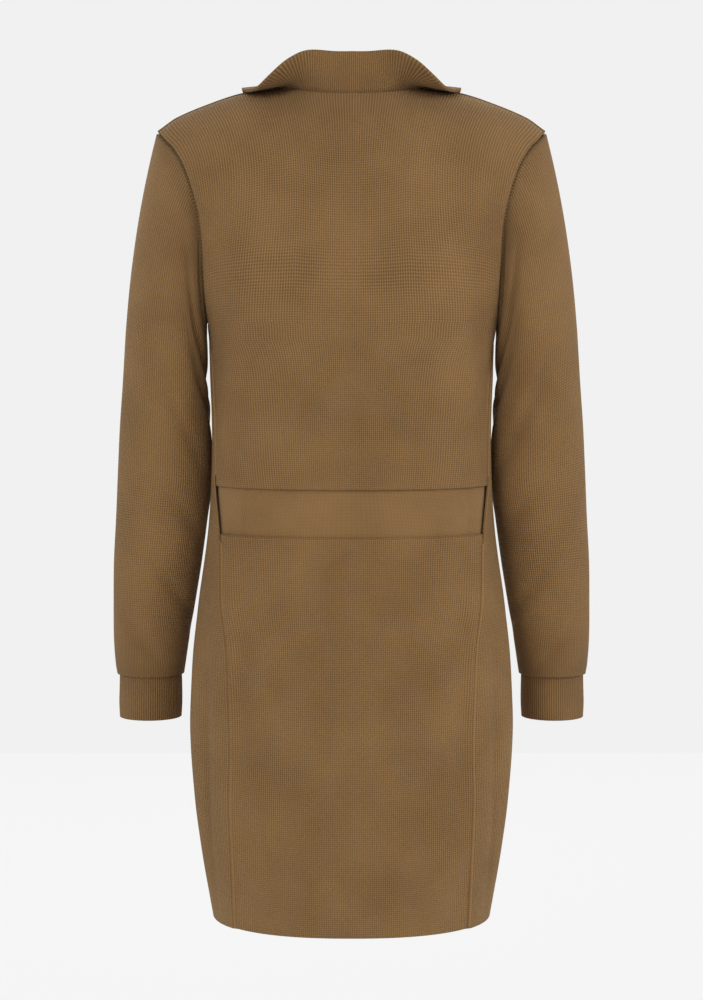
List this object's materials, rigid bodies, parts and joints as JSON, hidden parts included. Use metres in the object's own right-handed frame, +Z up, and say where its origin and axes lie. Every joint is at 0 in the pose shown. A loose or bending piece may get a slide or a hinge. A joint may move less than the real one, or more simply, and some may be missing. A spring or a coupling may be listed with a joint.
{
  "type": "button cardigan",
  "caption": "Long fine-knit button cardigan in worn, filled-out shape, with a ribbed band collar, an inset belt panel across the back waist and ribbed cuffs.",
  "frame": {"origin": "middle of the neck opening at the height of the neck seam, where the wearer holds the garment", "axes": "+Z up, +X the wearer's left, -Y the buttoned front"},
  "size_m": [0.5016, 0.2365, 0.8863],
  "materials": {
    "knit": "matte",
    "rib": "matte",
    "belt": "satin",
    "button": "satin"
  },
  "bodies": {
    "root": {"back_upper": "knit", "back_belt": "belt", "back_skirt": "knit", "front_left": "knit", "front_right": "knit", "sleeve_left": "knit", "sleeve_right": "knit", "cuff_left": "rib", "cuff_right": "rib", "neck_band": "rib", "front_band_left": "rib", "front_band_right": "rib", "button_1": "button", "button_2": "button", "button_3": "button", "button_4": "button", "button_5": "button", "button_6": "button"}
  },
  "joints": []
}
